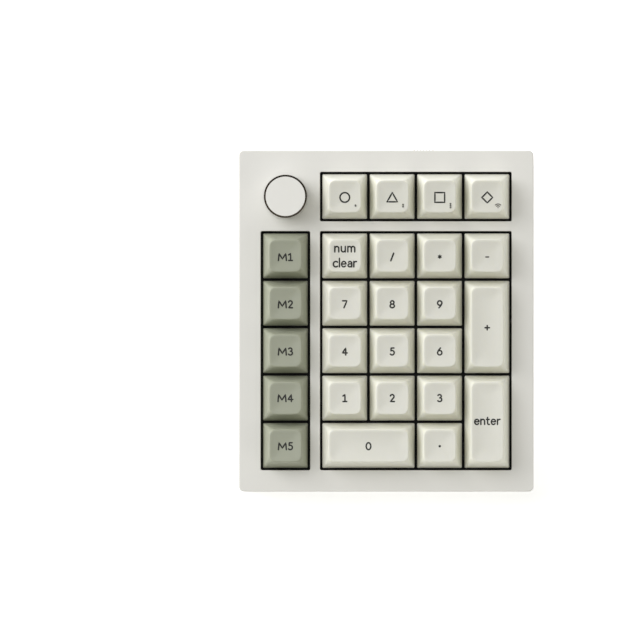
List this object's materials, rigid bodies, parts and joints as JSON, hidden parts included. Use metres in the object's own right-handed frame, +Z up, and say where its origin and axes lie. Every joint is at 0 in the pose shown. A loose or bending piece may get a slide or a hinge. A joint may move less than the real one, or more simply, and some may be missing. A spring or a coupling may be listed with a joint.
{
  "type": "numeric keypad",
  "caption": "Numeric keypad with pressing keys, a column of macro keys, a press-and-turn knob and a slide switch, in a wedge aluminium case.",
  "frame": {"origin": "on the desk, under the middle of the keypad's box", "axes": "+X to the user's right, +Y away from the user towards the back edge, +Z up"},
  "size_m": [0.1184, 0.139, 0.0441],
  "materials": {
    "cap_pale": "matte, fine moulded grain",
    "cap_sage": "matte, fine moulded grain",
    "cap_legend": "dyed into the cap",
    "case_paint": "fine blasted, painted pale warm grey",
    "knob_paint": "fine blasted, painted pale",
    "knob_ring": "diamond-cut, polished",
    "button_plastic": "satin",
    "foot_rubber": "matt",
    "screw_steel": "black oxide",
    "plate_black": "black anodised",
    "soft_foam": "closed-cell foam",
    "board_laminate": "black solder mask",
    "housing_milky": "milky, slightly see-through",
    "housing_clear": "clear polycarbonate",
    "switch_stem": "satin, red",
    "insert_white": "satin",
    "spring_steel": "bright wire",
    "contact_copper": "bright copper",
    "black_plastic": "matt",
    "encoder_steel": "tinned",
    "port_steel": "bright drawn shell",
    "battery_foil": "foil pouch",
    "lead_rubber": "soft sleeve",
    "ribbon_film": "polyimide film"
  },
  "bodies": {
    "case": {"top_case": "case_paint", "bottom_case": "case_paint", "rubber_feet": "foot_rubber", "case_screws": "screw_steel", "switch_plate": "plate_black", "gasket_strips": "soft_foam", "plate_foam": "soft_foam", "case_foam": "soft_foam", "circuit_board": "board_laminate", "switch_bottom_housings": "housing_milky", "switch_top_housings": "housing_clear", "switch_springs": "spring_steel", "switch_contacts": "contact_copper", "hot_swap_sockets": "black_plastic", "key_lights": "housing_milky", "stabiliser_housings": "black_plastic", "stabiliser_screws": "screw_steel", "encoder_body": "encoder_steel", "port_board": "board_laminate", "usb_receptacle": "port_steel", "slide_switch_body": "encoder_steel", "board_screws": "screw_steel", "battery": "battery_foil", "battery_lead": "lead_rubber", "ribbon_cable": "ribbon_film", "board_connectors": "housing_milky", "board_chips": "black_plastic"},
    "encoder_rotor": {"encoder_rotor": "black_plastic"},
    "knob": {"knob": "knob_paint", "encoder_shaft": "encoder_steel"},
    "slide_button": {"slide_switch_button": "button_plastic"},
    "key_m1": {"key_m1": "cap_sage"},
    "key_m2": {"key_m2": "cap_sage"},
    "key_m3": {"key_m3": "cap_sage"},
    "key_m4": {"key_m4": "cap_sage"},
    "key_m5": {"key_m5": "cap_sage"},
    "key_circle": {"key_circle": "cap_pale"},
    "key_triangle": {"key_triangle": "cap_pale"},
    "key_square": {"key_square": "cap_pale"},
    "key_diamond": {"key_diamond": "cap_pale"},
    "key_clear": {"key_clear": "cap_pale"},
    "key_divide": {"key_divide": "cap_pale"},
    "key_multiply": {"key_multiply": "cap_pale"},
    "key_minus": {"key_minus": "cap_pale"},
    "key_1": {"key_1": "cap_pale"},
    "key_2": {"key_2": "cap_pale"},
    "key_3": {"key_3": "cap_pale"},
    "key_4": {"key_4": "cap_pale"},
    "key_5": {"key_5": "cap_pale"},
    "key_6": {"key_6": "cap_pale"},
    "key_7": {"key_7": "cap_pale"},
    "key_8": {"key_8": "cap_pale"},
    "key_9": {"key_9": "cap_pale"},
    "key_plus": {"key_plus": "cap_pale"},
    "key_enter": {"key_enter": "cap_pale"},
    "key_0": {"key_0": "cap_pale"},
    "key_point": {"key_point": "cap_pale"},
    "stabiliser_wire_plus": {"stabiliser_wire_plus": "spring_steel"},
    "stabiliser_wire_enter": {"stabiliser_wire_enter": "spring_steel"},
    "stabiliser_wire_0": {"stabiliser_wire_0": "spring_steel"}
  },
  "joints": [
    {"name": "knob_turn", "type": "hinge", "parent": "case", "child": "encoder_rotor", "pos_m": [-0.04048, 0.04927, 0.02528], "axis": [0, -0.0906, 0.9959], "continuous": true},
    {"name": "knob_press", "type": "slide", "parent": "encoder_rotor", "child": "knob", "axis": [0, 0.0906, -0.9959], "range_m": [0, 0.0005], "stiffness_N_per_m": 800, "springref_m": -0.003},
    {"name": "slide_switch", "type": "slide", "parent": "case", "child": "slide_button", "axis": [1, 0, 0], "range_m": [-0.002, 0.002]},
    {"name": "key_m1_press", "type": "slide", "parent": "case", "child": "key_m1", "axis": [0, 0.0906, -0.9959], "range_m": [0, 0.0036], "stiffness_N_per_m": 70, "springref_m": -0.006, "deforming": ["switch_springs"]},
    {"name": "key_m2_press", "type": "slide", "parent": "case", "child": "key_m2", "axis": [0, 0.0906, -0.9959], "range_m": [0, 0.0036], "stiffness_N_per_m": 70, "springref_m": -0.006, "deforming": ["switch_springs"]},
    {"name": "key_m3_press", "type": "slide", "parent": "case", "child": "key_m3", "axis": [0, 0.0906, -0.9959], "range_m": [0, 0.0036], "stiffness_N_per_m": 70, "springref_m": -0.006, "deforming": ["switch_springs"]},
    {"name": "key_m4_press", "type": "slide", "parent": "case", "child": "key_m4", "axis": [0, 0.0906, -0.9959], "range_m": [0, 0.0036], "stiffness_N_per_m": 70, "springref_m": -0.006, "deforming": ["switch_springs"]},
    {"name": "key_m5_press", "type": "slide", "parent": "case", "child": "key_m5", "axis": [0, 0.0906, -0.9959], "range_m": [0, 0.0036], "stiffness_N_per_m": 70, "springref_m": -0.006, "deforming": ["switch_springs"]},
    {"name": "key_circle_press", "type": "slide", "parent": "case", "child": "key_circle", "axis": [0, 0.0906, -0.9959], "range_m": [0, 0.0036], "stiffness_N_per_m": 70, "springref_m": -0.006, "deforming": ["switch_springs"]},
    {"name": "key_triangle_press", "type": "slide", "parent": "case", "child": "key_triangle", "axis": [0, 0.0906, -0.9959], "range_m": [0, 0.0036], "stiffness_N_per_m": 70, "springref_m": -0.006, "deforming": ["switch_springs"]},
    {"name": "key_square_press", "type": "slide", "parent": "case", "child": "key_square", "axis": [0, 0.0906, -0.9959], "range_m": [0, 0.0036], "stiffness_N_per_m": 70, "springref_m": -0.006, "deforming": ["switch_springs"]},
    {"name": "key_diamond_press", "type": "slide", "parent": "case", "child": "key_diamond", "axis": [0, 0.0906, -0.9959], "range_m": [0, 0.0036], "stiffness_N_per_m": 70, "springref_m": -0.006, "deforming": ["switch_springs"]},
    {"name": "key_clear_press", "type": "slide", "parent": "case", "child": "key_clear", "axis": [0, 0.0906, -0.9959], "range_m": [0, 0.0036], "stiffness_N_per_m": 70, "springref_m": -0.006, "deforming": ["switch_springs"]},
    {"name": "key_divide_press", "type": "slide", "parent": "case", "child": "key_divide", "axis": [0, 0.0906, -0.9959], "range_m": [0, 0.0036], "stiffness_N_per_m": 70, "springref_m": -0.006, "deforming": ["switch_springs"]},
    {"name": "key_multiply_press", "type": "slide", "parent": "case", "child": "key_multiply", "axis": [0, 0.0906, -0.9959], "range_m": [0, 0.0036], "stiffness_N_per_m": 70, "springref_m": -0.006, "deforming": ["switch_springs"]},
    {"name": "key_minus_press", "type": "slide", "parent": "case", "child": "key_minus", "axis": [0, 0.0906, -0.9959], "range_m": [0, 0.0036], "stiffness_N_per_m": 70, "springref_m": -0.006, "deforming": ["switch_springs"]},
    {"name": "key_1_press", "type": "slide", "parent": "case", "child": "key_1", "axis": [0, 0.0906, -0.9959], "range_m": [0, 0.0036], "stiffness_N_per_m": 70, "springref_m": -0.006, "deforming": ["switch_springs"]},
    {"name": "key_2_press", "type": "slide", "parent": "case", "child": "key_2", "axis": [0, 0.0906, -0.9959], "range_m": [0, 0.0036], "stiffness_N_per_m": 70, "springref_m": -0.006, "deforming": ["switch_springs"]},
    {"name": "key_3_press", "type": "slide", "parent": "case", "child": "key_3", "axis": [0, 0.0906, -0.9959], "range_m": [0, 0.0036], "stiffness_N_per_m": 70, "springref_m": -0.006, "deforming": ["switch_springs"]},
    {"name": "key_4_press", "type": "slide", "parent": "case", "child": "key_4", "axis": [0, 0.0906, -0.9959], "range_m": [0, 0.0036], "stiffness_N_per_m": 70, "springref_m": -0.006, "deforming": ["switch_springs"]},
    {"name": "key_5_press", "type": "slide", "parent": "case", "child": "key_5", "axis": [0, 0.0906, -0.9959], "range_m": [0, 0.0036], "stiffness_N_per_m": 70, "springref_m": -0.006, "deforming": ["switch_springs"]},
    {"name": "key_6_press", "type": "slide", "parent": "case", "child": "key_6", "axis": [0, 0.0906, -0.9959], "range_m": [0, 0.0036], "stiffness_N_per_m": 70, "springref_m": -0.006, "deforming": ["switch_springs"]},
    {"name": "key_7_press", "type": "slide", "parent": "case", "child": "key_7", "axis": [0, 0.0906, -0.9959], "range_m": [0, 0.0036], "stiffness_N_per_m": 70, "springref_m": -0.006, "deforming": ["switch_springs"]},
    {"name": "key_8_press", "type": "slide", "parent": "case", "child": "key_8", "axis": [0, 0.0906, -0.9959], "range_m": [0, 0.0036], "stiffness_N_per_m": 70, "springref_m": -0.006, "deforming": ["switch_springs"]},
    {"name": "key_9_press", "type": "slide", "parent": "case", "child": "key_9", "axis": [0, 0.0906, -0.9959], "range_m": [0, 0.0036], "stiffness_N_per_m": 70, "springref_m": -0.006, "deforming": ["switch_springs"]},
    {"name": "key_plus_press", "type": "slide", "parent": "case", "child": "key_plus", "axis": [0, 0.0906, -0.9959], "range_m": [0, 0.0036], "stiffness_N_per_m": 70, "springref_m": -0.006, "deforming": ["switch_springs"]},
    {"name": "key_enter_press", "type": "slide", "parent": "case", "child": "key_enter", "axis": [0, 0.0906, -0.9959], "range_m": [0, 0.0036], "stiffness_N_per_m": 70, "springref_m": -0.006, "deforming": ["switch_springs"]},
    {"name": "key_0_press", "type": "slide", "parent": "case", "child": "key_0", "axis": [0, 0.0906, -0.9959], "range_m": [0, 0.0036], "stiffness_N_per_m": 70, "springref_m": -0.006, "deforming": ["switch_springs"]},
    {"name": "key_point_press", "type": "slide", "parent": "case", "child": "key_point", "axis": [0, 0.0906, -0.9959], "range_m": [0, 0.0036], "stiffness_N_per_m": 70, "springref_m": -0.006, "deforming": ["switch_springs"]},
    {"name": "stabiliser_wire_plus_rock", "type": "hinge", "parent": "case", "child": "stabiliser_wire_plus", "pos_m": [0.03208, -0.00268, 0.01814], "axis": [0, 0.9959, 0.0906], "range_deg": [-0.01, 29.34]},
    {"name": "stabiliser_wire_enter_rock", "type": "hinge", "parent": "case", "child": "stabiliser_wire_enter", "pos_m": [0.03208, -0.04063, 0.01469], "axis": [0, 0.9959, 0.0906], "range_deg": [-0.01, 29.34]},
    {"name": "stabiliser_wire_0_rock", "type": "hinge", "parent": "case", "child": "stabiliser_wire_0", "pos_m": [-0.00714, -0.04175, 0.01458], "axis": [1, 0, 0], "range_deg": [-0.01, 29.34]}
  ],
  "couplings": [
    {"joint": "stabiliser_wire_plus_rock", "follows": "key_plus_press", "rad_per_m": 142.2},
    {"joint": "stabiliser_wire_enter_rock", "follows": "key_enter_press", "rad_per_m": 142.2},
    {"joint": "stabiliser_wire_0_rock", "follows": "key_0_press", "rad_per_m": 142.2}
  ]
}
